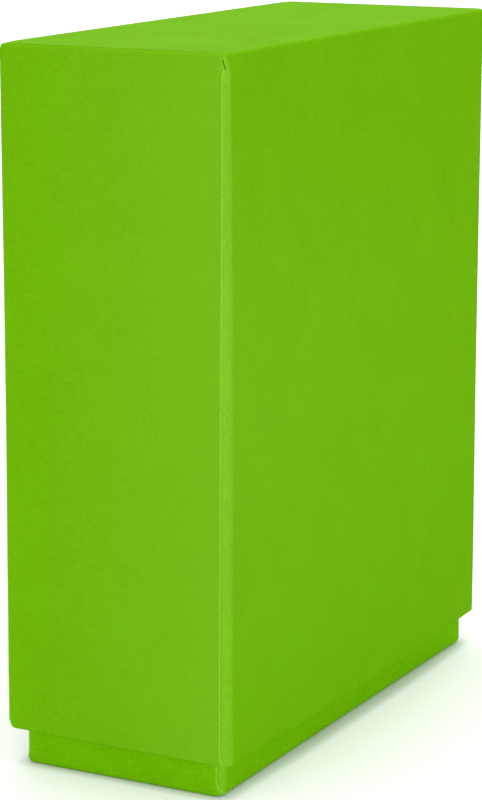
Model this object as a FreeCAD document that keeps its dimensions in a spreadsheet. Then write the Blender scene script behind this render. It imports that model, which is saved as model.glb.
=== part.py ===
import FreeCAD, Part
import os

import Sketcher

# Rigid paper-wrapped box with a deep lift-off lid, standing on its tray.
# X runs across the narrow sides, Y along the wide sides, Z up; the origin is
# the middle of the tray's underside. All lengths are in millimetres.

SIZES = {
    # Outside of the closed box, over the paper
    "lid_width": 65.0,
    "lid_depth": 158.0,
    "lid_height": 180.0,
    "plinth_height": 10.0,
    # Sheet materials
    "board_thickness": 2.0,
    "wrap_thickness": 0.2,
    "lining_thickness": 0.15,
    "stay_thickness": 0.15,
    # Fits between lid and tray
    "slip_clearance": 0.35,
    "seat_clearance": 0.2,
    # Making up the two shells
    "fold_radius": 1.0,
    "corner_gap": 0.1,
    "stay_leg": 12.0,
    "turn_in": 15.0,
    "seam_setback": 1.6,
}

doc = FreeCAD.newDocument("LiftOffLidBox")
sheet = doc.addObject("Spreadsheet::Sheet", "Sizes")
for row, (alias, value) in enumerate(SIZES.items(), start=1):
    sheet.set(f"A{row}", alias)
    sheet.set(f"B{row}", str(value))
    sheet.setAlias(f"B{row}", alias)
doc.recompute()

# Short names for the cells that nearly every outline needs
BOARD = "Sizes.board_thickness"
WRAP = "Sizes.wrap_thickness"
LINING = "Sizes.lining_thickness"
STAY = "Sizes.stay_thickness"

# At a bend of 45 degrees the outer face of a sheet runs on by this share of its
# thickness, the tangent of half the bend
BEND_SHARE = "(sqrt(2) - 1)"

# Points nearer to each other than this are taken as one place
SAME_PLACE = 1e-4


def value_of(expression):
    """Number that an expression over the sheet gives now."""
    return float(sheet.evalExpression(expression))


def half(expression):
    return f"({expression}) / 2"


def shell_sizes(width, depth, height):
    """Outlines of one open shell, from its outside inwards, as expressions over the sheet.

    A narrow wall carries two layers of wrap, the wide walls' flaps under its own panel.
    The shell stands on its closed panel at z = 0, with its mouth upwards.
    """
    board_width = f"({width} - 2 * ({WRAP} + {STAY}))"
    board_depth = f"({depth} - 2 * (2 * {WRAP} + {STAY}))"
    inner_width = f"({board_width} - 2 * {BOARD})"
    inner_depth = f"({board_depth} - 2 * {BOARD})"
    return {
        "width": width,
        "depth": depth,
        "height": height,
        "flap_depth": f"({depth} - 2 * {WRAP})",
        "board_width": board_width,
        "board_depth": board_depth,
        "board_top": f"({height} - {WRAP})",
        "floor_top": f"({WRAP} + {BOARD})",
        "inner_width": inner_width,
        "inner_depth": inner_depth,
        "lined_width": f"({inner_width} - 2 * {LINING})",
        "lined_depth": f"({inner_depth} - 2 * {LINING})",
        "mouth_width": f"({inner_width} - 2 * ({LINING} + {WRAP}))",
        "mouth_depth": f"({inner_depth} - 2 * ({LINING} + {WRAP}))",
    }


LID = shell_sizes("Sizes.lid_width", "Sizes.lid_depth", "Sizes.lid_height")
CLOSED_HEIGHT = "(Sizes.plinth_height + Sizes.lid_height)"
ROOF = f"({WRAP} + {BOARD} + {LINING})"
TRAY = shell_sizes(
    f"({LID['mouth_width']} - 2 * Sizes.slip_clearance)",
    f"({LID['mouth_depth']} - 2 * Sizes.slip_clearance)",
    f"({CLOSED_HEIGHT} - {ROOF} - Sizes.seat_clearance)",
)


def new_body(label):
    body = doc.addObject("PartDesign::Body", label)
    body.Label = label
    return body


def origin_plane(body, role):
    for feature in body.Origin.OriginFeatures:
        if feature.Role == role:
            return feature
    raise ValueError(f"{body.Label} has no plane {role}")


def add_outline(body, name, loops, level, role="XY_Plane"):
    """Sketch of closed loops of straight lines, on an origin plane moved out to a level.

    Every corner of a loop is a pair of expressions, and two dimensions hold it there.
    """
    sketch = body.newObject("Sketcher::SketchObject", name)
    sketch.AttachmentSupport = [(origin_plane(body, role), "")]
    sketch.MapMode = "FlatFace"
    sketch.setExpression("AttachmentOffset.Base.z", level)
    for loop in loops:
        corners = [FreeCAD.Vector(value_of(x), value_of(y), 0) for x, y in loop]
        ends = corners[1:] + corners[:1]
        lines = [
            sketch.addGeometry(Part.LineSegment(start, end), False)
            for start, end in zip(corners, ends)
        ]
        for line, following in zip(lines, lines[1:] + lines[:1]):
            sketch.addConstraint(Sketcher.Constraint("Coincident", line, 2, following, 1))
        for line, corner, (x, y) in zip(lines, corners, loop):
            across = sketch.addConstraint(Sketcher.Constraint("DistanceX", -1, 1, line, 1, corner.x))
            sketch.setExpression(f"Constraints[{across}]", x)
            along = sketch.addConstraint(Sketcher.Constraint("DistanceY", -1, 1, line, 1, corner.y))
            sketch.setExpression(f"Constraints[{along}]", y)
    return sketch


def add_pad(body, name, sketch, length):
    pad = body.newObject("PartDesign::Pad", name)
    pad.Profile = sketch
    pad.setExpression("Length", length)
    doc.recompute()
    return pad


def add_pocket(body, name, sketch, length):
    """Cut downwards from the sketch, and stop if the cut removed nothing."""
    volume_before = body.Shape.Volume
    pocket = body.newObject("PartDesign::Pocket", name)
    pocket.Profile = sketch
    pocket.setExpression("Length", length)
    doc.recompute()
    if pocket.Shape.Volume >= volume_before:
        raise ValueError(f"{body.Label}: {name} cuts nothing")
    return pocket


def add_fillet(body, name, base, edges, radius):
    fillet = body.newObject("PartDesign::Fillet", name)
    fillet.Base = (base, edges)
    fillet.setExpression("Radius", radius)
    doc.recompute()
    return fillet


def edges_at(shape, wanted):
    """Names of the edges whose middle point the given test accepts."""
    names = []
    for number, edge in enumerate(shape.Edges, start=1):
        if wanted(edge.CenterOfMass):
            names.append(f"Edge{number}")
    return names


def same(one, other):
    return abs(one - other) < SAME_PLACE


def rectangle(width, depth):
    x, y = half(width), half(depth)
    return [(f"-{x}", f"-{y}"), (x, f"-{y}"), (x, y), (f"-{x}", y)]


def faceted_rectangle(width, depth, facet):
    """Rectangle whose corners are cut off by flat facets at 45 degrees."""
    x, y = half(width), half(depth)
    short_x, short_y = f"({x} - {facet})", f"({y} - {facet})"
    return [
        (f"-{short_x}", f"-{y}"), (short_x, f"-{y}"), (x, f"-{short_y}"), (x, short_y),
        (short_x, y), (f"-{short_x}", y), (f"-{x}", short_y), (f"-{x}", f"-{short_y}"),
    ]


def cross(width, depth, arm_width, arm_depth):
    """Outline of a blank with its corner squares cut away."""
    x, y = half(width), half(depth)
    arm_x, arm_y = half(arm_width), half(arm_depth)
    return [
        (f"-{arm_x}", f"-{y}"), (arm_x, f"-{y}"), (arm_x, f"-{arm_y}"), (x, f"-{arm_y}"),
        (x, arm_y), (arm_x, arm_y), (arm_x, y), (f"-{arm_x}", y),
        (f"-{arm_x}", arm_y), (f"-{x}", arm_y), (f"-{x}", f"-{arm_y}"), (f"-{arm_x}", f"-{arm_y}"),
    ]


def make_board(label, shell):
    """Scored greyboard blank, its four walls folded up from one panel and open at the corners."""
    body = new_body(label)
    # The walls end short of each other, so that the paper can round the panel's corners
    setback = f"(Sizes.corner_gap + {BEND_SHARE} * Sizes.fold_radius)"
    blank = cross(
        shell["board_width"],
        shell["board_depth"],
        f"({shell['inner_width']} - 2 * {setback})",
        f"({shell['inner_depth']} - 2 * {setback})",
    )
    blank_sketch = add_outline(body, f"{label}_blank", [blank], WRAP)
    add_pad(body, f"{label}_block", blank_sketch, f"{shell['board_top']} - {WRAP}")
    inside = rectangle(shell["inner_width"], shell["inner_depth"])
    inside_sketch = add_outline(body, f"{label}_inside", [inside], shell["board_top"])
    hollow = add_pocket(
        body, f"{label}_hollow", inside_sketch, f"{shell['board_top']} - {shell['floor_top']}"
    )
    fold_x = value_of(half(shell["board_width"]))
    fold_y = value_of(half(shell["board_depth"]))
    fold_z = value_of(WRAP)
    folds = edges_at(
        hollow.Shape,
        lambda point: same(point.z, fold_z) and (same(abs(point.x), fold_x) or same(abs(point.y), fold_y)),
    )
    add_fillet(body, f"{label}_folds", hollow, folds, "Sizes.fold_radius")
    return body


def make_lining(label, shell):
    """White paper pasted over the board's inside: one panel and four walls."""
    body = new_body(label)
    outside = rectangle(shell["inner_width"], shell["inner_depth"])
    outside_sketch = add_outline(body, f"{label}_outside", [outside], shell["floor_top"])
    add_pad(body, f"{label}_block", outside_sketch, f"{shell['board_top']} - {shell['floor_top']}")
    inside = rectangle(shell["lined_width"], shell["lined_depth"])
    inside_sketch = add_outline(body, f"{label}_inside", [inside], shell["board_top"])
    add_pocket(
        body,
        f"{label}_hollow",
        inside_sketch,
        f"{shell['board_top']} - {shell['floor_top']} - {LINING}",
    )
    return body


def make_stay(label, shell, side_x, side_y):
    """Gummed paper strip that holds two neighbouring walls together round their corner."""
    body = new_body(label)
    wall_x, wall_y = half(shell["board_width"]), half(shell["board_depth"])
    bend = f"{BEND_SHARE} * {STAY}"
    corner = [
        (wall_x, f"{wall_y} - {BOARD} - Sizes.stay_leg"),
        (f"{wall_x} + {STAY}", f"{wall_y} - {BOARD} - Sizes.stay_leg"),
        (f"{wall_x} + {STAY}", f"{wall_y} - {BOARD} + {bend}"),
        (f"{wall_x} - {BOARD} + {bend}", f"{wall_y} + {STAY}"),
        (f"{wall_x} - {BOARD} - Sizes.stay_leg", f"{wall_y} + {STAY}"),
        (f"{wall_x} - {BOARD} - Sizes.stay_leg", wall_y),
        (f"{wall_x} - {BOARD}", wall_y),
        (wall_x, f"{wall_y} - {BOARD}"),
    ]
    placed = [(f"{side_x} * ({x})", f"{side_y} * ({y})") for x, y in corner]
    strip_sketch = add_outline(body, f"{label}_strip", [placed], shell["floor_top"])
    add_pad(body, f"{label}_length", strip_sketch, f"{shell['board_top']} - {shell['floor_top']}")
    return body


def make_wrap(label, shell):
    """Covering paper in one sheet, round the outside, over the rim and a little way inside.

    The wide walls' paper goes round the corners as flaps, and the narrow walls' own panels
    lie over those flaps and stop short of the corners, which leaves the four seams.
    """
    body = new_body(label)
    outside = faceted_rectangle(
        shell["width"], shell["flap_depth"], f"({BOARD} + (1 - {BEND_SHARE}) * ({STAY} + {WRAP}))"
    )
    outside_sketch = add_outline(body, f"{label}_outside", [outside], "0")
    add_pad(body, f"{label}_block", outside_sketch, shell["board_top"])
    inside = faceted_rectangle(
        f"({shell['width']} - 2 * {WRAP})",
        f"({shell['flap_depth']} - 2 * {WRAP})",
        f"({BOARD} + (1 - {BEND_SHARE}) * {STAY})",
    )
    inside_sketch = add_outline(body, f"{label}_inside", [inside], shell["board_top"])
    hollow = add_pocket(body, f"{label}_hollow", inside_sketch, f"{shell['board_top']} - {WRAP}")
    paper = value_of(WRAP)
    inner_folds = edges_at(hollow.Shape, lambda point: same(point.z, paper))
    creased = add_fillet(body, f"{label}_inner_folds", hollow, inner_folds, "Sizes.fold_radius")
    outer_folds = edges_at(creased.Shape, lambda point: same(point.z, 0))
    add_fillet(body, f"{label}_outer_folds", creased, outer_folds, f"Sizes.fold_radius + {WRAP}")

    mouth = rectangle(shell["mouth_width"], shell["mouth_depth"])
    rim_sketch = add_outline(body, f"{label}_rim_outline", [outside, mouth], shell["board_top"])
    add_pad(body, f"{label}_rim", rim_sketch, WRAP)

    lined = rectangle(shell["lined_width"], shell["lined_depth"])
    turned_sketch = add_outline(
        body, f"{label}_turned_outline", [lined, mouth], f"{shell['height']} - Sizes.turn_in"
    )
    add_pad(body, f"{label}_turned_in", turned_sketch, f"Sizes.turn_in - {WRAP}")

    panel_x = f"({half(shell['width'])} - Sizes.seam_setback)"
    panel_foot = f"(Sizes.fold_radius + {WRAP})"
    panel = [
        (f"-{panel_x}", panel_foot),
        (panel_x, panel_foot),
        (panel_x, shell["height"]),
        (f"-{panel_x}", shell["height"]),
    ]
    panel_sketch = add_outline(
        body, f"{label}_panel_outline", [panel], half(shell["flap_depth"]), "XZ_Plane"
    )
    panel_pad = add_pad(body, f"{label}_panel", panel_sketch, WRAP)
    both_panels = body.newObject("PartDesign::Mirrored", f"{label}_panels")
    both_panels.Originals = [panel_pad]
    both_panels.MirrorPlane = (origin_plane(body, "XZ_Plane"), [""])
    body.Tip = both_panels
    doc.recompute()
    return body


def make_shell(name, shell, front_side):
    """All the pieces of one shell: board, corner stays, lining and covering paper.

    The front side is the sign of Y that faces the front once the shell stands in the box.
    """
    bodies = [
        make_board(f"{name}_board", shell),
        make_lining(f"{name}_lining", shell),
        make_wrap(f"{name}_wrap", shell),
    ]
    for end_name, side_y in (("front", front_side), ("back", -front_side)):
        for side_name, side_x in (("left", -1), ("right", 1)):
            bodies.append(make_stay(f"{name}_stay_{end_name}_{side_name}", shell, side_x, side_y))
    return bodies


def turn_over(body):
    """Stand a lid piece on its mouth, with its panel at the closed box's full height."""
    half_turn = FreeCAD.Rotation(FreeCAD.Vector(1, 0, 0), 180)
    body.Placement = FreeCAD.Placement(FreeCAD.Vector(0, 0, 0), half_turn)
    body.setExpression("Placement.Base.z", CLOSED_HEIGHT)


tray_bodies = make_shell("tray", TRAY, front_side=-1)
lid_bodies = make_shell("lid", LID, front_side=1)
for lid_body in lid_bodies:
    turn_over(lid_body)
doc.recompute()

for item in doc.Objects:
    if "Invalid" in item.State or "Error" in item.State:
        raise ValueError(f"{item.Label} failed: {item.State}")
for body in tray_bodies + lid_bodies:
    if body.Shape.isNull() or not body.Shape.isValid() or len(body.Shape.Solids) != 1:
        raise ValueError(f"{body.Label} is not one valid solid")

os.makedirs("parts", exist_ok=True)
for body in tray_bodies + lid_bodies:
    body.Shape.exportStep(f"parts/{body.Label}.step")
    box = body.Shape.BoundBox
    print(f"{body.Label}: {box.XLength:.2f} x {box.YLength:.2f} x {box.ZLength:.2f} mm")
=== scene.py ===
import math

import bmesh
import bpy
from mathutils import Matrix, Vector


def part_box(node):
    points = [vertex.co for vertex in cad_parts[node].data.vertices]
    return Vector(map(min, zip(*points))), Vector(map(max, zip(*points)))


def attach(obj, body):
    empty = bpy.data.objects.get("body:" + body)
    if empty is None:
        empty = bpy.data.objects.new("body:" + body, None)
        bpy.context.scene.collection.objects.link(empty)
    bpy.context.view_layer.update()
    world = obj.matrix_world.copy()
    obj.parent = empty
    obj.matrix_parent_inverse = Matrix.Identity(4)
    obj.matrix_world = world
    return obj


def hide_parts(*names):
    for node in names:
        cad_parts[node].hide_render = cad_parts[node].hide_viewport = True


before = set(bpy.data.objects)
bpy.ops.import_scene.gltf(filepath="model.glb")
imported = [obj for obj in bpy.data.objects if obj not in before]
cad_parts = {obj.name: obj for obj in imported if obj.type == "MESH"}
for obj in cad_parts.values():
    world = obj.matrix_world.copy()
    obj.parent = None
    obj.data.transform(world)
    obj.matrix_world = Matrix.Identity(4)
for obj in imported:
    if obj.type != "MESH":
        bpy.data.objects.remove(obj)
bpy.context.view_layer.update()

mm = 0.001
hair = 0.02 * mm  # two places this close are the same place
facingShare = 0.9  # a face whose normal has this much of an axis faces along it
print("frame loaded:", len(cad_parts), "nodes")


def clearPicks():
    if bpy.context.object and bpy.context.object.mode != "OBJECT":
        bpy.ops.object.mode_set(mode="OBJECT")
    bpy.ops.object.select_all(action="DESELECT")


def pick(kind, test):
    # picks verts, edges or faces of the mesh in edit mode by place or normal
    bpy.ops.mesh.select_mode(type=kind)
    bpy.ops.mesh.select_all(action="DESELECT")
    mesh = bpy.context.edit_object.data
    shape = bmesh.from_edit_mesh(mesh)
    shape.normal_update()
    for part in {"VERT": shape.verts, "EDGE": shape.edges, "FACE": shape.faces}[kind]:
        if test(part):
            part.select_set(True)
    shape.select_flush_mode()
    bmesh.update_edit_mesh(mesh)


def sliceAt(place, normal, snap=0.1 * mm):
    # a vert closer to the plane than snap counts as lying on it
    bpy.ops.mesh.select_all(action="SELECT")
    bpy.ops.mesh.bisect(plane_co=place, plane_no=normal, threshold=snap)


def addBlock(name, middle, size, lean=0.0):
    clearPicks()
    bpy.ops.mesh.primitive_cube_add(size=1, location=middle, rotation=(0, lean, 0), scale=size)
    block = bpy.context.object
    block.name = name
    bpy.ops.object.transform_apply(location=True, rotation=True, scale=True)
    bpy.ops.object.mode_set(mode="EDIT")
    return block


def upright(edge):
    start, end = edge.verts
    return (start.co.xy - end.co.xy).length < hair


def applyModifier(piece, kind, **settings):
    clearPicks()
    piece.select_set(True)
    bpy.context.view_layer.objects.active = piece
    modifier = piece.modifiers.new(kind.lower(), kind)
    for key, value in settings.items():
        setattr(modifier, key, value)
    bpy.ops.object.modifier_apply(modifier=modifier.name)


def joinInto(piece, others):
    clearPicks()
    for other in others:
        other.select_set(True)
    piece.select_set(True)
    bpy.context.view_layer.objects.active = piece
    bpy.ops.object.join()


# materials: sizes of patterns and depths of bumps in millimetres

def toLinear(hexColour):
    channels = [int(hexColour[i:i + 2], 16) / 255 for i in (1, 3, 5)]
    return [c / 12.92 if c <= 0.04045 else ((c + 0.055) / 1.055) ** 2.4 for c in channels] + [1.0]


def addNode(tree, kind, settings=None, links=None):
    node = tree.nodes.new(kind)
    for key, value in (settings or {}).items():
        if isinstance(key, str) and hasattr(node, key):
            setattr(node, key, value)
        else:
            node.inputs[key].default_value = value
    for key, socket in (links or {}).items():
        tree.links.new(socket, node.inputs[key])
    return node


def newMaterial(name):
    material = bpy.data.materials.new(name)
    material.use_nodes = True
    tree = material.node_tree
    tree.nodes.clear()
    return material, tree


def perMm(size):
    return 1 / (size * mm)  # noise scale that gives grains of this size in millimetres


def tintByTone(tree, look, tone):
    # spreads a pattern over its usual range, and goes from the dark colour to the light one
    low, high = look["toneRange"]
    spread = addNode(tree, "ShaderNodeMapRange", {"From Min": low, "From Max": high},
                     {"Value": tone}).outputs[0]
    tint = addNode(tree, "ShaderNodeMix",
                   {"data_type": "RGBA", 6: toLinear(look["dark"]), 7: toLinear(look["light"])},
                   {0: spread}).outputs[2]
    return spread, tint


def finishSurface(tree, look, colour, height):
    bump = addNode(tree, "ShaderNodeBump", {"Strength": look["bump"], "Distance": look["bumpDeep"] * mm},
                   {"Height": height}).outputs[0]
    shader = addNode(tree, "ShaderNodeBsdfPrincipled",
                     {"Roughness": look["roughness"], "Specular IOR Level": look["specular"]},
                     {"Base Color": colour, "Normal": bump})
    addNode(tree, "ShaderNodeOutputMaterial", None, {"Surface": shader.outputs[0]})


wrapPaperLook = {
    "dark": "#5e9906", "light": "#64a309", "toneRange": (0.62, 1.08),
    # the next three colours are painted light, not the paper's: a painted sheen on the panel, a painted
    # highlight on the right corners and painted light on the foot; the last is the lighter colour of the
    # flaps' cut edges
    "paintedLightTone": "#68a218", "paintedHighlightTone": "#6ca522", "paintedFootLightTone": "#66a704", "edgeTint": "#86c338",
    # the grain is coarser than real pulp, so that it shows
    "mottle": 0.55, "cloud": 14.0, "cloudShare": 0.35, "fibreLong": 5.0, "fibreWide": 0.5, "fibreShare": 0.35,
    "relief": 0.11, "poolRelief": 0.035, "bump": 0.12, "bumpDeep": 0.08, "roughness": 0.64, "specular": 0.002,
    # parts of the normal between which painted light sets in: up for the panel's painted sheen, right and
    # lengthwise for the painted highlight on the corners
    "topSheen": (0.6, 0.97), "highlightFromFlap": (0.1, 0.6), "highlightToWide": (0.08, 0.2),
    # the painted highlight on the corner ends below a line that slants down from the panel's corner
    "panelTop": 190.0, "panelEnd": 79.0, "cornerLean": 0.8, "cornerBlend": (1.0, 0.2),
    # the painted highlight is weaker lower down, and the foot below its height takes painted light
    "highlightRise": (30.0, 90.0), "highlightLow": 0.7, "foot": 9.8, "footBlend": 0.8,
    # a painted pool of light round the front right corner of the wide sides, longer along them
    "poolAt": (32.5, -79.0, 95.0), "poolStretch": 0.5, "poolReach": 95.0, "poolShare": 0.5,
    # the narrow sides' painted light, from the left wall to the right wall; then the range over which the cut
    # edges' lighter band follows the mottle
    "narrowShare": (-0.15, 0.85), "edgeGrainRange": (0.25, 0.6), "edgeGrainLow": 0.55,
}


def paperPulp(tree, look, place, onWide):
    mottle = addNode(tree, "ShaderNodeTexNoise",
                     {"Scale": perMm(look["mottle"]), "Detail": 2.0, "Roughness": 0.5},
                     {"Vector": place}).outputs["Fac"]
    cloud = addNode(tree, "ShaderNodeTexNoise", {"Scale": perMm(look["cloud"]), "Detail": 2.0},
                    {"Vector": place}).outputs["Fac"]
    # the grain runs across panel and narrow sides, and so turns upright on the wide sides
    long, wide = perMm(look["fibreLong"]), perMm(look["fibreWide"])
    fibres = []
    for scale in ((long, wide, wide), (wide, wide, long)):
        grain = addNode(tree, "ShaderNodeMapping", {"Scale": scale}, {"Vector": place}).outputs["Vector"]
        fibres.append(addNode(tree, "ShaderNodeTexNoise", {"Scale": 1.0, "Detail": 2.0},
                              {"Vector": grain}).outputs["Fac"])
    fibre = addNode(tree, "ShaderNodeMix", {"data_type": "FLOAT"},
                    {0: onWide, 2: fibres[0], 3: fibres[1]}).outputs[0]
    pulp = addNode(tree, "ShaderNodeMath", {"operation": "MULTIPLY_ADD", 1: look["fibreShare"]},
                   {0: fibre, 2: mottle}).outputs[0]
    tone = addNode(tree, "ShaderNodeMath", {"operation": "MULTIPLY_ADD", 1: look["cloudShare"]},
                   {0: cloud, 2: pulp}).outputs[0]
    return mottle, pulp, tone


def paintedLightZones(tree, look, spot, faces, onNarrow):
    # painted light: a painted sheen on the panel, a painted highlight on the right upright corners and
    # painted light on the foot
    masks = []
    for part, name in ((faces["Z"], "topSheen"), (faces["X"], "highlightFromFlap"), (onNarrow, "highlightToWide")):
        low, high = look[name]
        masks.append(addNode(tree, "ShaderNodeMapRange", {"From Min": low, "From Max": high},
                             {"Value": part}).outputs[0])
    sheenOnTop, fromFlap, toWide = masks
    highlightOnCorner = addNode(tree, "ShaderNodeMath", {"operation": "MULTIPLY"}, {0: fromFlap, 1: toWide}).outputs[0]
    fromMiddle = addNode(tree, "ShaderNodeMath", {"operation": "ABSOLUTE"}, {0: spot["Y"]}).outputs[0]
    leaning = addNode(tree, "ShaderNodeMath", {"operation": "MULTIPLY_ADD", 1: -look["cornerLean"]},
                      {0: fromMiddle, 2: spot["Z"]}).outputs[0]
    backed = look["panelTop"] - look["cornerLean"] * look["panelEnd"]
    full, none = look["cornerBlend"]
    below = addNode(tree, "ShaderNodeMapRange",
                    {"From Min": (backed - full) * mm, "From Max": (backed - none) * mm,
                     "To Min": 1.0, "To Max": 0.0}, {"Value": leaning}).outputs[0]
    # the painted highlight on the corners is weaker lower down, towards the rim
    low, high = look["highlightRise"]
    highlightByHeight = addNode(tree, "ShaderNodeMapRange",
                   {"From Min": low * mm, "From Max": high * mm, "To Min": look["highlightLow"], "To Max": 1.0},
                   {"Value": spot["Z"]}).outputs[0]
    for mask in (below, highlightByHeight):
        highlightOnCorner = addNode(tree, "ShaderNodeMath", {"operation": "MULTIPLY"},
                           {0: highlightOnCorner, 1: mask}).outputs[0]
    # painted light on the foot, below the given height
    lightOnFoot = addNode(tree, "ShaderNodeMapRange",
                     {"From Min": (look["foot"] - look["footBlend"]) * mm, "From Max": look["foot"] * mm,
                      "To Min": 1.0, "To Max": 0.0}, {"Value": spot["Z"]}).outputs[0]
    return sheenOnTop, highlightOnCorner, lightOnFoot


def paintedLightPools(tree, look, place, spot, onWide, onNarrow):
    # a faint painted pool of light lies round the front right corner of the wide sides, longer along the wide
    # side, and the narrow sides take painted light that grows towards the right wall
    stretch = (1.0, look["poolStretch"], 1.0)
    drawn = addNode(tree, "ShaderNodeMapping", {"Scale": stretch}, {"Vector": place}).outputs["Vector"]
    poolAt = [at * mm * scale for at, scale in zip(look["poolAt"], stretch)]
    away = addNode(tree, "ShaderNodeVectorMath", {"operation": "DISTANCE", 1: poolAt},
                   {0: drawn}).outputs["Value"]
    near = addNode(tree, "ShaderNodeMapRange",
                   {"interpolation_type": "SMOOTHSTEP", "From Max": look["poolReach"] * mm,
                    "To Min": look["poolShare"], "To Max": 0.0}, {"Value": away}).outputs[0]
    pool = addNode(tree, "ShaderNodeMath", {"operation": "MULTIPLY"}, {0: near, 1: onWide}).outputs[0]
    wallX = look["poolAt"][0] * mm
    left, right = look["narrowShare"]
    rise = addNode(tree, "ShaderNodeMapRange",
                   {"From Min": -wallX, "From Max": wallX, "To Min": left, "To Max": right},
                   {"Value": spot["X"]}).outputs[0]
    risen = addNode(tree, "ShaderNodeMath", {"operation": "MULTIPLY"}, {0: rise, 1: onNarrow}).outputs[0]
    return addNode(tree, "ShaderNodeMath", {"operation": "MAXIMUM", "use_clamp": True},
                   {0: pool, 1: risen}).outputs[0]


def dyedUncoatedPaper(look):
    # pulp dyed through and calendered lightly: matt, faintly mottled, fibres along the sheet's grain
    material, tree = newMaterial("dyedUncoatedPaper")
    place = addNode(tree, "ShaderNodeTexCoord").outputs["Object"]
    spot = addNode(tree, "ShaderNodeSeparateXYZ", None, {0: place}).outputs
    facing = addNode(tree, "ShaderNodeNewGeometry").outputs["Normal"]
    faces = addNode(tree, "ShaderNodeSeparateXYZ", None, {0: facing}).outputs
    onWide = addNode(tree, "ShaderNodeMath", {"operation": "ABSOLUTE"}, {0: faces["X"]}).outputs[0]
    onNarrow = addNode(tree, "ShaderNodeMath", {"operation": "ABSOLUTE"}, {0: faces["Y"]}).outputs[0]
    mottle, pulp, tone = paperPulp(tree, look, place, onWide)
    spread, body = tintByTone(tree, look, tone)
    sheenOnTop, highlightOnCorner, lightOnFoot = paintedLightZones(tree, look, spot, faces, onNarrow)
    # the panel takes the painted sheen, the foot painted light and the corners the painted highlight
    pale = addNode(tree, "ShaderNodeMix",
                   {"data_type": "RGBA", 6: toLinear(look["paintedLightTone"]), 7: toLinear(look["paintedFootLightTone"])},
                   {0: lightOnFoot}).outputs[2]
    pale = addNode(tree, "ShaderNodeMix", {"data_type": "RGBA", 7: toLinear(look["paintedHighlightTone"])},
                   {0: highlightOnCorner, 6: pale}).outputs[2]
    relief = addNode(tree, "ShaderNodeMapRange", {"To Min": 1 - look["relief"], "To Max": 1 + look["relief"]},
                     {"Value": spread}).outputs[0]
    pale = addNode(tree, "ShaderNodeMix", {"data_type": "RGBA", "blend_type": "MULTIPLY", 0: 1.0},
                   {6: relief, 7: pale}).outputs[2]
    poolRelief = addNode(tree, "ShaderNodeMapRange",
                         {"To Min": 1 - look["poolRelief"], "To Max": 1 + look["poolRelief"]},
                         {"Value": spread}).outputs[0]
    lighter = addNode(tree, "ShaderNodeMix",
                      {"data_type": "RGBA", "blend_type": "MULTIPLY", 0: 1.0, 7: toLinear(look["paintedLightTone"])},
                      {6: poolRelief}).outputs[2]
    # painted pools of light on the wide and narrow sides
    paintedPool = paintedLightPools(tree, look, place, spot, onWide, onNarrow)
    body = addNode(tree, "ShaderNodeMix", {"data_type": "RGBA"}, {0: paintedPool, 6: body, 7: lighter}).outputs[2]
    # the strongest of the painted sheen, the painted highlight and the painted light on the foot
    paintedShare = sheenOnTop
    for mask in (highlightOnCorner, lightOnFoot):
        paintedShare = addNode(tree, "ShaderNodeMath", {"operation": "MAXIMUM"}, {0: paintedShare, 1: mask}).outputs[0]
    body = addNode(tree, "ShaderNodeMix", {"data_type": "RGBA"}, {0: paintedShare, 6: body, 7: pale}).outputs[2]
    # the flaps' cut edges take a lighter colour in a narrow band, more where the fine mottle is high
    edge = addNode(tree, "ShaderNodeAttribute", {"attribute_name": "edgeTintShare"}).outputs["Fac"]
    low, high = look["edgeGrainRange"]
    edgeGrain = addNode(tree, "ShaderNodeMapRange",
                    {"From Min": low, "From Max": high, "To Min": look["edgeGrainLow"], "To Max": 1.0},
                    {"Value": mottle}).outputs[0]
    edgeTint = addNode(tree, "ShaderNodeMath", {"operation": "MULTIPLY"}, {0: edge, 1: edgeGrain}).outputs[0]
    colour = addNode(tree, "ShaderNodeMix", {"data_type": "RGBA", 7: toLinear(look["edgeTint"])},
                     {0: edgeTint, 6: body}).outputs[2]
    finishSurface(tree, look, colour, pulp)
    return material


liningPaperLook = {
    "dark": "#e3dfd6", "light": "#f3f0ea", "toneRange": (0.55, 1.15),
    "mottle": 1.2, "cloud": 18.0, "cloudShare": 0.7,
    "bump": 0.1, "bumpDeep": 0.1, "roughness": 0.7, "specular": 0.25,
}


def whiteLiningPaper(look):
    # bleached uncoated paper: matt, off-white, slightly cloudy where the paste dried
    material, tree = newMaterial("whiteLiningPaper")
    place = addNode(tree, "ShaderNodeTexCoord").outputs["Object"]
    mottle = addNode(tree, "ShaderNodeTexNoise", {"Scale": perMm(look["mottle"]), "Detail": 4.0},
                     {"Vector": place}).outputs["Fac"]
    cloud = addNode(tree, "ShaderNodeTexNoise", {"Scale": perMm(look["cloud"]), "Detail": 2.0},
                    {"Vector": place}).outputs["Fac"]
    tone = addNode(tree, "ShaderNodeMath", {"operation": "MULTIPLY_ADD", 1: look["cloudShare"]},
                   {0: cloud, 2: mottle}).outputs[0]
    colour = tintByTone(tree, look, tone)[1]
    finishSurface(tree, look, colour, mottle)
    return material


greyboardLook = {
    "dark": "#77726a", "light": "#9a948a", "toneRange": (0.4, 0.95),
    "fleck": 1.5, "fleckShare": 0.35, "pulp": 0.7,
    "bump": 0.25, "bumpDeep": 0.15, "roughness": 0.85, "specular": 0.2,
}


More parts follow.
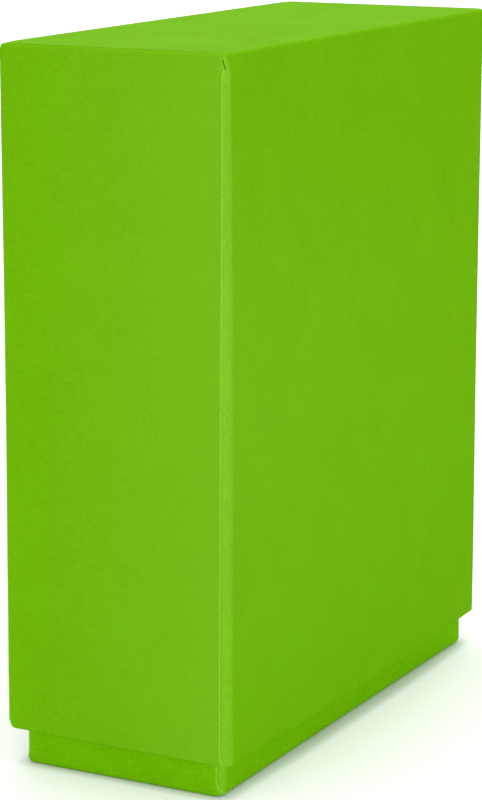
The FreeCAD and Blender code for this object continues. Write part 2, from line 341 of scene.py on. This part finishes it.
def recycledGreyboard(look):
    # pressed waste paper: grey brown, flecked with lighter and darker fibre bundles
    material, tree = newMaterial("recycledGreyboard")
    place = addNode(tree, "ShaderNodeTexCoord").outputs["Object"]
    fleck = addNode(tree, "ShaderNodeTexVoronoi", {"Scale": perMm(look["fleck"]), "Randomness": 1.0},
                    {"Vector": place}).outputs["Color"]
    grey = addNode(tree, "ShaderNodeRGBToBW", None, {"Color": fleck}).outputs[0]
    pulp = addNode(tree, "ShaderNodeTexNoise", {"Scale": perMm(look["pulp"]), "Detail": 4.0},
                   {"Vector": place}).outputs["Fac"]
    tone = addNode(tree, "ShaderNodeMath", {"operation": "MULTIPLY_ADD", 1: look["fleckShare"]},
                   {0: grey, 2: pulp}).outputs[0]
    colour = tintByTone(tree, look, tone)[1]
    finishSurface(tree, look, colour, pulp)
    return material


stayTapeLook = {
    "dark": "#9a7347", "light": "#b78d5c", "toneRange": (0.3, 0.7),
    "fibreLong": 6.0, "fibreWide": 0.5,  # wider than real fibres, so that they show
    "bump": 0.15, "bumpDeep": 0.05, "roughness": 0.6, "specular": 0.3,
}


def gummedKraftTape(look):
    # unbleached machine-glazed kraft: brown, long fibres along the strip, a slight glaze
    material, tree = newMaterial("gummedKraftTape")
    place = addNode(tree, "ShaderNodeTexCoord").outputs["Object"]
    wide = perMm(look["fibreWide"])
    grain = addNode(tree, "ShaderNodeMapping", {"Scale": (wide, wide, perMm(look["fibreLong"]))},
                    {"Vector": place}).outputs["Vector"]
    fibre = addNode(tree, "ShaderNodeTexNoise", {"Scale": 1.0, "Detail": 3.0},
                    {"Vector": grain}).outputs["Fac"]
    colour = tintByTone(tree, look, fibre)[1]
    finishSurface(tree, look, colour, fibre)
    return material


wrapPaper = dyedUncoatedPaper(wrapPaperLook)
finishes = {
    "_lining": whiteLiningPaper(liningPaperLook),
    "_board": recycledGreyboard(greyboardLook),
    "_stay_": gummedKraftTape(stayTapeLook),
}
for nodeName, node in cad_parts.items():
    for part, finish in finishes.items():
        if part in nodeName:
            node.data.materials.clear()
            node.data.materials.append(finish)
print("materials made")


# wrap paper: one sheet folded over panel and walls, turned in over the rim, with a flap on each narrow side
# lengths are in millimetres

sheetLook = {
    "paper": 0.2, "liningPaper": 0.15, "glueGap": 0.01,
    "turnIn": 15.0, "mitre": 5.0, "mitreDeep": 4.0, "rimRadius": 0.5, "mouthRadius": 0.5,
    "cornerProfile": 0.42, "cornerSteps": 10, "foldSteps": 6, "rimSteps": 4,
    "foldAngle": 30.0, "rimAngle": 57.0, "smoothAngle": 38.0,  # degrees
    "cornerRoom": 2.0, "rimRoom": 1.0,  # mesh columns and rows keep this far from corners and rim
    "lipReach": 1.6, "lipSnap": 0.012,
    # at the flap's rim end the shell steps out: distance from that end, half the step's height,
    # depth of wall that moves, and how far it stands out past the paper's thickness
    "rimStep": 0.04, "rimStepHalf": 0.01, "rimStepDeep": 0.25, "rimProud": 0.006, "rimStepSnap": 0.002,
    # mesh columns beside the flap's cut edges, and the flat sheet's place before it is laid on
    "flapColumns": (0.13, 0.3, 0.6, 1.0, 1.5, 2.1, 2.8, 3.8, 5.5), "flapInset": 1.0, "flapAway": 5.0,
}
lidCoverLook = sheetLook | {
    "node": "lid_wrap", "lining": "lid_lining", "body": "lid", "panelUp": True,
    "slack": 0.25, "rimSlack": 0.15, "cornerCut": 3.5, "wallSteps": 10,
    "rightFold": 1.15, "leftFold": 1.5, "frontFold": 1.2, "backFold": 0.4, "lip": 0.12, "lipStep": 0.03,
    # the paper spans the open corner of the board:
    # distance from the panel, span on the wide side, span on the narrow side, how far it is drawn in
    "rightCorner": ((0.0, 1.35, 1.35, 0.45), (1.65, 1.05, 1.05, 0.3), (2.8, 1.6, 1.15, 0.05),
                    (4.4, 2.6, 1.2, 0.0), (21.0, 3.2, 1.25, 0.0), (60.0, 3.5, 1.6, 0.0),
                    (105.0, 3.35, 2.1, 0.0), (163.0, 2.7, 2.6, 0.0), (180.0, 3.0, 2.7, 0.0)),
    "leftCorner": ((0.0, 1.6, 1.6, 0.45), (1.65, 1.4, 1.4, 0.3), (4.4, 2.0, 2.0, 0.0), (60.0, 1.8, 1.8, 0.0),
                   (95.0, 1.4, 1.4, 0.0), (140.0, 0.5, 0.5, 0.0), (164.0, 0.3, 0.3, -0.2),
                   (177.9, 0.3, 0.3, -0.25), (179.05, 0.8, 0.8, -0.15), (180.0, 1.8, 1.8, 0.0)),
    "bow": {"out": 1.45, "flat": 36.0, "reach": 48.0, "rows": (5.0, 12.0, 22.0, 34.0, 48.0)},
    # knocked-down panel corner at the front left, slack rim corner at the front right
    "nudges": ({"side": -1, "end": -1, "from": 0.0, "near": 2.2, "down": 0.18, "reach": 7.0},
               {"side": 1, "end": -1, "from": 180.15, "near": 3.0, "down": 0.6, "reach": 10.0}),
    # cut edges of the flap, pasted a little askew:
    # distance from the panel, setback at its right, setback at its left
    "flapRows": ((0.28, 1.13, 1.4), (1.2, 1.13, 1.4), (1.8, 1.14, 1.4), (4.05, 0.65, 1.4), (4.3, 0.65, 1.4),
                 (5.0, 0.88, 1.4), (5.7, 1.0, 1.4), (6.6, 1.04, 1.4), (30.0, 1.14, 1.4), (60.0, 1.42, 1.2),
                 (100.0, 1.8, 0.9), (136.0, 2.1, 0.4), (163.0, 2.3, 0.2), (176.0, 2.32, 0.15),
                 (178.4, 2.17, 0.45), (179.45, 1.9, 1.0)),
    "bendRows": (0.45, 0.65, 0.9),  # more mesh rows where the flap bends over the panel's fold
    # where the flaps' lighter edge band starts and how wide it is
    "edgeTintFrom": 4.1, "edgeTintWide": 0.3,
    # setback and distance from the panel at the cut's two ends, and the tab tucked in behind it
    "slit": {"wide": 0.26, "from": (1.14, 1.8), "to": (0.69, 4.1), "cutterDeep": 4.6, "cutterOut": 0.9,
             "tabIn": 1.25, "tabBehind": 1.0, "tabDown": 3.0, "tabSize": (1.4, 0.1, 3.4)},
}
trayCoverLook = sheetLook | {
    "node": "tray_wrap", "lining": "tray_lining", "body": "tray", "panelUp": False,
    "slack": 0.0, "rimSlack": 0.0, "cornerCut": 1.9, "wallSteps": 2,
    "rightFold": 1.5, "leftFold": 1.5, "frontFold": 0.35, "backFold": 0.35, "lip": 0.4, "lipStep": None,
    "rightCorner": ((0.0, 1.75, 1.75, 0.2), (1.7, 1.4, 1.4, 0.1), (3.4, 1.6, 1.6, 0.0), (12.0, 1.9, 1.9, 0.0),
                    (187.45, 1.9, 1.9, 0.0)),
    "leftCorner": ((0.0, 1.1, 1.1, 0.1), (1.7, 0.8, 0.8, 0.0), (5.0, 1.05, 1.05, 0.0),
                   (187.45, 1.5, 1.5, 0.0)),
    "bow": None, "nudges": (),
    "flapRows": ((0.45, 0.42, 0.4), (1.43, 0.47, 0.4), (2.2, 0.92, 0.5), (3.07, 1.33, 0.6), (4.1, 1.65, 0.8),
                 (5.2, 1.72, 0.8), (8.2, 1.57, 0.8), (186.9, 1.1, 0.8)),
    "bendRows": (), "edgeTintFrom": 0.0, "edgeTintWide": 0.45, "slit": None,
}


def between(rows, deep):
    # reads a list of rows at any distance from the panel
    for above, below in zip(rows, rows[1:]):
        if deep <= below[0]:
            share = (deep - above[0]) / (below[0] - above[0])
            return [a + (b - a) * share for a, b in zip(above[1:], below[1:])]
    return rows[-1][1:]


def wallColumns(look, baseY):
    # mesh columns on the wide walls, the same outside and on the turn-in, so that the rim closes evenly
    edge = baseY - (look["cornerCut"] + look["cornerRoom"]) * mm
    steps = look["wallSteps"]
    return [edge * (2 * step / steps - 1) for step in range(steps + 1)]


def foldShell(name, look, halfX, baseY, panelZ, rimZ, up):
    tall = abs(panelZ - rimZ)
    shell = addBlock(name, (0, 0, (panelZ + rimZ) / 2), (2 * halfX, 2 * baseY, tall))
    pick("FACE", lambda face: face.normal.z * up < -facingShare)
    bpy.ops.mesh.delete(type="FACE")
    pick("EDGE", upright)
    bpy.ops.mesh.bevel(offset=look["cornerCut"] * mm, segments=look["cornerSteps"],
                       profile=look["cornerProfile"], affect="EDGES")
    for deep in sorted({row[0] for row in look["rightCorner"] + look["leftCorner"]}):
        if 0 < deep < tall / mm - look["rimRoom"]:
            sliceAt((0, 0, panelZ - up * deep * mm), (0, 0, 1))
    for place in wallColumns(look, baseY):
        sliceAt((0, place, 0), (0, 1, 0))
    slackenCorners(shell, look, halfX, baseY, panelZ, up)
    roundFolds(shell, look, panelZ)
    raiseLips(look, halfX, baseY, panelZ, up)
    if look["bow"]:
        bowWalls(look["bow"], halfX, rimZ, up)
    return shell


def slackenCorners(shell, look, halfX, baseY, panelZ, up):
    # the panel's board fills its corner, so the paper is sharp there and slack over the walls' open corner
    cut = look["cornerCut"] * mm
    shape = bmesh.from_edit_mesh(shell.data)
    deeps = sorted({round(abs(vert.co.z - panelZ) / mm, 3) for vert in shape.verts})
    for sideX in (-1, 1):
        rows = look["rightCorner"] if sideX > 0 else look["leftCorner"]
        for sideY in (-1, 1):
            for deep in deeps:
                wide, narrow, drawn = between(rows, deep)
                pick("VERT", lambda vert: abs(vert.co.z - panelZ + up * deep * mm) < hair
                     and vert.co.x * sideX > halfX - cut - hair and vert.co.y * sideY > baseY - cut - hair)
                bpy.ops.transform.resize(value=(narrow * mm / cut, wide * mm / cut, 1),
                                         center_override=(sideX * halfX, sideY * baseY, 0))
                if drawn:
                    bpy.ops.transform.translate(value=(-sideX * drawn * mm, 0, 0))


def roundFolds(shell, look, panelZ):
    # each side of the panel has a fold radius of its own
    shape = bmesh.from_edit_mesh(shell.data)
    weight = shape.edges.layers.float.new("bevel_weight_edge")
    widest = max(look["rightFold"], look["leftFold"])
    for edge in shape.edges:
        onPanel = all(abs(vert.co.z - panelZ) < hair for vert in edge.verts)
        if onPanel and edge.calc_face_angle(0) > math.radians(look["foldAngle"]):
            start, end = edge.verts
            run = end.co - start.co
            along = abs(run.y) / run.length
            wide = look["rightFold"] if start.co.x > 0 else look["leftFold"]
            narrow = look["backFold"] if start.co.y > 0 else look["frontFold"]
            edge[weight] = (narrow * (1 - along) + wide * along) / widest
    bmesh.update_edit_mesh(shell.data)
    applyModifier(shell, "BEVEL", width=widest * mm, segments=look["foldSteps"], limit_method="WEIGHT",
                  use_clamp_overlap=False)
    bpy.ops.object.mode_set(mode="EDIT")


def raiseLips(look, halfX, baseY, panelZ, up):
    # lip of the panel over each narrow flap, as proud as the flap
    lip = look["lip"] * mm
    if look["lipStep"]:
        # at the front the lip ends in a step, so that a fine crease shows between lip and flap
        for deep in (lip, lip + look["lipStep"] * mm):
            pick("FACE", lambda face: abs(face.calc_center_median().x) < halfX / 2
                 and face.calc_center_median().y < 0)
            bpy.ops.mesh.bisect(plane_co=(0, 0, panelZ - up * deep), plane_no=(0, 0, 1),
                                threshold=look["lipSnap"] * mm)
    for side in (-1, 1):
        pick("VERT", lambda vert: abs(vert.co.z - panelZ) < lip + hair / 2
             and vert.co.y * side > baseY - look["lipReach"] * mm)
        bpy.ops.transform.translate(value=(0, side * look["paper"] * mm, 0))


def bowWalls(bow, halfX, rimZ, up):
    # wide walls stand out a little at the rim, as pasted board does when it dries
    for deep in bow["rows"]:
        sliceAt((0, 0, rimZ + up * deep * mm), (0, 0, 1))
    for sideX in (-1, 1):
        pick("VERT", lambda vert: vert.co.x * sideX > halfX - hair and abs(vert.co.z - rimZ) < hair
             and abs(vert.co.y) < bow["flat"] * mm)
        bpy.ops.transform.translate(value=(sideX * bow["out"] * mm, 0, 0), orient_type="GLOBAL",
                                    use_proportional_edit=True, use_proportional_connected=True,
                                    proportional_edit_falloff="SMOOTH", proportional_size=bow["reach"] * mm)


def turnIn(shell, look, mouthX, mouthY, baseY, rimZ, up):
    deep = look["turnIn"] * mm
    flapEnd = rimZ + up * deep
    ring = addBlock("turnIn", (0, 0, rimZ + up * deep / 2), (2 * mouthX, 2 * mouthY, deep))
    pick("FACE", lambda face: abs(face.normal.z) > facingShare)
    bpy.ops.mesh.delete(type="FACE")
    pick("EDGE", upright)
    bpy.ops.mesh.bevel(offset=look["mouthRadius"] * mm, segments=look["cornerSteps"], affect="EDGES")
    for place in wallColumns(look, baseY):
        sliceAt((0, place, 0), (0, 1, 0))
    bpy.ops.mesh.select_all(action="SELECT")
    bpy.ops.mesh.flip_normals()
    joinInto(shell, [ring])
    bpy.ops.object.mode_set(mode="EDIT")
    pick("EDGE", lambda edge: edge.is_boundary and all(abs(vert.co.z - rimZ) < hair for vert in edge.verts))
    bpy.ops.mesh.bridge_edge_loops()
    bpy.ops.mesh.select_all(action="SELECT")
    bpy.ops.mesh.normals_make_consistent(inside=False)
    pick("EDGE", lambda edge: edge.is_manifold and edge.calc_face_angle() > math.radians(look["rimAngle"])
         and all(abs(vert.co.z - rimZ) < hair for vert in edge.verts))
    bpy.ops.mesh.bevel(offset=look["rimRadius"] * mm, segments=look["rimSteps"], affect="EDGES")
    # mitred ends, so that the turned-in flaps don't pile up in the corners
    mitre = look["mitre"] * mm
    for side in (-1, 1):
        sliceAt((side * (mouthX - mitre), 0, 0), (1, 0, 0))
        sliceAt((0, side * (mouthY - mitre), 0), (0, 1, 0))
    corner = look["mouthRadius"] * mm + hair
    pick("VERT", lambda vert: abs(vert.co.z - flapEnd) < hair and abs(vert.co.x) > mouthX - corner
         and abs(vert.co.y) > mouthY - corner)
    bpy.ops.transform.translate(value=(0, 0, -up * look["mitreDeep"] * mm))
    bpy.ops.object.mode_set(mode="OBJECT")


def layFlap(shell, look, side, halfX, baseY, panelZ, up):
    # narrow flap: cut flat to its outline, laid on wall and corners, then given its thickness
    deeps = sorted([row[0] for row in look["flapRows"]] + list(look["bendRows"]))
    rows = [[size * mm for size in (deep, *between(look["flapRows"], deep))] for deep in deeps]
    first, last = rows[0][0], rows[-1][0]
    widest = halfX - look["flapInset"] * mm
    clearPicks()
    middle = (0, side * (baseY + look["flapAway"] * mm), panelZ - up * (first + last) / 2)
    bpy.ops.mesh.primitive_plane_add(size=1, location=middle, rotation=(math.radians(90), 0, 0))
    flap = bpy.context.object
    flap.scale = (2 * widest, last - first, 1)
    bpy.ops.object.transform_apply(location=True, rotation=True, scale=True)
    bpy.ops.object.mode_set(mode="EDIT")
    for deep, _, _ in rows[1:-1]:
        sliceAt((0, 0, panelZ - up * deep), (0, 0, 1))
    for inset in look["flapColumns"]:
        for sideX in (-1, 1):
            sliceAt((sideX * (widest - inset * mm), 0, 0), (1, 0, 0))
    for deep, right, left in rows:
        pick("VERT", lambda vert: abs(vert.co.z - panelZ + up * deep) < hair)
        half = halfX - (right + left) / 2
        bpy.ops.transform.resize(value=(half / widest, 1, 1), center_override=(0, 0, 0))
        bpy.ops.transform.translate(value=((left - right) / 2, 0, 0))
    pick("FACE", lambda face: face.normal.y * side < 0)
    bpy.ops.mesh.flip_normals()
    bpy.ops.object.mode_set(mode="OBJECT")
    # a narrow band along the flap's cut edges is marked for a lighter colour, from a given distance below the
    # panel
    edgeTint = flap.data.attributes.new("edgeTintShare", "FLOAT", "POINT")
    for index, vert in enumerate(flap.data.vertices):
        deep = abs(vert.co.z - panelZ)
        _, right, left = min(rows, key=lambda row: abs(row[0] - deep))
        fromEdge = min(halfX - right - vert.co.x, vert.co.x + halfX - left)
        if deep > look["edgeTintFrom"] * mm:
            edgeTint.data[index].value = max(0.0, 1 - fromEdge / (look["edgeTintWide"] * mm))
    applyModifier(flap, "SHRINKWRAP", target=shell, wrap_method="PROJECT", use_project_y=True,
                  use_negative_direction=side > 0, use_positive_direction=side < 0, wrap_mode="ABOVE_SURFACE",
                  offset=look["glueGap"] * mm)
    applyModifier(flap, "SOLIDIFY", thickness=(look["paper"] - look["glueGap"]) * mm, offset=1.0)
    return flap


def carryOverRim(shell, look, baseY, panelZ, up):
    # the flaps go on over the rim: past their modelled ends the shell stands out by the paper's thickness
    step = look["flapRows"][-1][0] - look["rimStep"]
    clearPicks()
    shell.select_set(True)
    bpy.context.view_layer.objects.active = shell
    bpy.ops.object.mode_set(mode="EDIT")
    for deep in (step - look["rimStepHalf"], step + look["rimStepHalf"]):
        sliceAt((0, 0, panelZ - up * deep * mm), (0, 0, 1), look["rimStepSnap"] * mm)
    for side in (-1, 1):
        pick("VERT", lambda vert: (panelZ - vert.co.z) * up > step * mm
             and vert.co.y * side > baseY - look["rimStepDeep"] * mm)
        bpy.ops.transform.translate(value=(0, side * (look["paper"] + look["rimProud"]) * mm, 0))
    bpy.ops.object.mode_set(mode="OBJECT")


def cutSlits(shell, slit, halfX, baseY, panelZ, up):
    # at each right panel corner the sheet is cut beside the flap, with a tab tucked in behind the cut
    (startIn, startDeep), (endIn, endDeep) = slit["from"], slit["to"]
    lean = math.atan2(startIn - endIn, endDeep - startDeep)
    cutLong = math.hypot(startIn - endIn, endDeep - startDeep)
    cutIn = (startIn + endIn - slit["wide"] * math.cos(lean)) / 2
    cutDown = (startDeep + endDeep - slit["wide"] * math.sin(lean)) / 2
    cutSize = (slit["wide"] * mm, slit["cutterDeep"] * mm, cutLong * mm)
    tabs = []
    for side in (-1, 1):
        middle = (halfX - cutIn * mm, side * (baseY + slit["cutterOut"] * mm), panelZ - up * cutDown * mm)
        cutter = addBlock("slitCutter", middle, cutSize, -up * lean)
        applyModifier(shell, "BOOLEAN", operation="DIFFERENCE", object=cutter, solver="EXACT")
        bpy.data.objects.remove(cutter)
        middle = (halfX - slit["tabIn"] * mm, side * (baseY - slit["tabBehind"] * mm),
                  panelZ - up * slit["tabDown"] * mm)
        tabs.append(addBlock("tuckedTab", middle, [size * mm for size in slit["tabSize"]]))
    return tabs


def nudgeCorner(nudge, halfX, baseY, panelZ, up):
    tip = Vector((nudge["side"] * halfX, nudge["end"] * baseY, panelZ - up * nudge["from"] * mm))
    pick("VERT", lambda vert: (vert.co - tip).length < nudge["near"] * mm)
    bpy.ops.transform.translate(value=(0, 0, -nudge["down"] * mm), orient_type="GLOBAL",
                                use_proportional_edit=True, proportional_edit_falloff="SMOOTH",
                                proportional_size=nudge["reach"] * mm)


def foldCover(name, look):
    low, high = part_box(look["node"])
    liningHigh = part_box(look["lining"])[1]
    paper = look["paper"] * mm
    halfX, baseY = high[0] + look["slack"] * mm, high[1] - paper
    up = 1 if look["panelUp"] else -1
    panelZ, rimZ = (high[2], low[2] - look["rimSlack"] * mm) if look["panelUp"] else (low[2], high[2])
    inside = (look["liningPaper"] + look["paper"]) * mm
    shell = foldShell(name, look, halfX, baseY, panelZ, rimZ, up)
    turnIn(shell, look, liningHigh[0] - inside, liningHigh[1] - inside, baseY, rimZ, up)
    parts = [layFlap(shell, look, side, halfX, baseY, panelZ, up) for side in (-1, 1)]
    carryOverRim(shell, look, baseY, panelZ, up)
    applyModifier(shell, "SOLIDIFY", thickness=paper, offset=-1.0, use_even_offset=True)
    if look["slit"]:
        parts += cutSlits(shell, look["slit"], halfX, baseY, panelZ, up)
    joinInto(shell, parts)
    bpy.ops.object.mode_set(mode="EDIT")
    for nudge in look["nudges"]:
        nudgeCorner(nudge, halfX, baseY, panelZ, up)
    bpy.ops.object.mode_set(mode="OBJECT")
    bpy.ops.object.shade_smooth_by_angle(angle=math.radians(look["smoothAngle"]))
    applyModifier(shell, "WEIGHTED_NORMAL", mode="FACE_AREA", keep_sharp=True)
    shell.data.materials.clear()
    shell.data.materials.append(wrapPaper)
    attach(shell, look["body"])
    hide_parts(look["node"])
    print(name, "folded:", len(shell.data.polygons), "faces")


foldCover("lidCover", lidCoverLook)
foldCover("trayCover", trayCoverLook)


# floor, light and camera, in metres and degrees

floorLook = {"size": 14.0, "drop": 0.0002, "colour": "#fbfbfa", "roughness": 0.9, "specular": 0.1}
clearPicks()
bpy.ops.mesh.primitive_plane_add(size=floorLook["size"], location=(0, 0, -floorLook["drop"]))
floor = bpy.context.object
floor.name = "studioFloor"
bpy.ops.object.transform_apply(location=True, rotation=True, scale=True)
floorPaper, floorTree = newMaterial("mattWhiteSweep")  # seamless studio paper, matt and even
floorShader = addNode(floorTree, "ShaderNodeBsdfPrincipled",
                      {"Base Color": toLinear(floorLook["colour"]), "Roughness": floorLook["roughness"],
                       "Specular IOR Level": floorLook["specular"]})
addNode(floorTree, "ShaderNodeOutputMaterial", None, {"Surface": floorShader.outputs[0]})
floor.data.materials.append(floorPaper)

lightLook = {
    "world": 0.63, "worldColour": "#ffffff",
    "softboxes": (
        {"name": "keySoftbox", "turn": 41.0, "rise": 3.0, "away": 3.2, "size": 2.2, "power": 90.0,
         "aim": (0.0, 0.0, 0.1)},
        {"name": "topSoftbox", "turn": 42.0, "rise": 88.0, "away": 1.6, "size": 1.2, "power": 19.8,
         "aim": (0.0, 0.0, 0.1)},
        {"name": "backSoftbox", "turn": 42.0, "rise": 88.0, "away": 1.5, "size": 2.4, "power": 34.0,
         "aim": (-1.2, 2.4, 0.0)},
    ),
}
world = bpy.data.worlds.new("studioWorld")
world.use_nodes = True
sky = world.node_tree.nodes["Background"]
sky.inputs["Color"].default_value = toLinear(lightLook["worldColour"])
sky.inputs["Strength"].default_value = lightLook["world"]
bpy.context.scene.world = world
for look in lightLook["softboxes"]:
    # turned from the narrow front towards the right wide side, and raised above the place it is aimed at
    turn, rise = math.radians(look["turn"]), math.radians(look["rise"])
    reach = (math.cos(rise) * math.sin(turn), -math.cos(rise) * math.cos(turn), math.sin(rise))
    clearPicks()
    bpy.ops.object.light_add(type="AREA", rotation=(math.pi / 2 - rise, 0, turn),
                             location=[aim + look["away"] * part for aim, part in zip(look["aim"], reach)])
    light = bpy.context.object
    light.name = look["name"]
    light.data.size = look["size"]
    light.data.energy = look["power"]
    light.visible_camera = False

cameraLook = {
    "place": (0.34665, -0.65975, 0.25028), "yaw": 28.07, "pitch": 12.403, "roll": 0.082,
    "lens": 123.83, "sensor": 36.0,
}
clearPicks()
bpy.ops.object.camera_add(location=cameraLook["place"],
                          rotation=(math.radians(90 - cameraLook["pitch"]), math.radians(cameraLook["roll"]),
                                    math.radians(cameraLook["yaw"])))
camera = bpy.context.object
camera.name = "photoCamera"
camera.data.lens = cameraLook["lens"]
camera.data.sensor_width = cameraLook["sensor"]
camera.data.sensor_fit = "AUTO"
bpy.context.scene.camera = camera
bpy.context.scene.view_settings.view_transform = "Standard"
print("floor, light and camera set")

clearPicks()
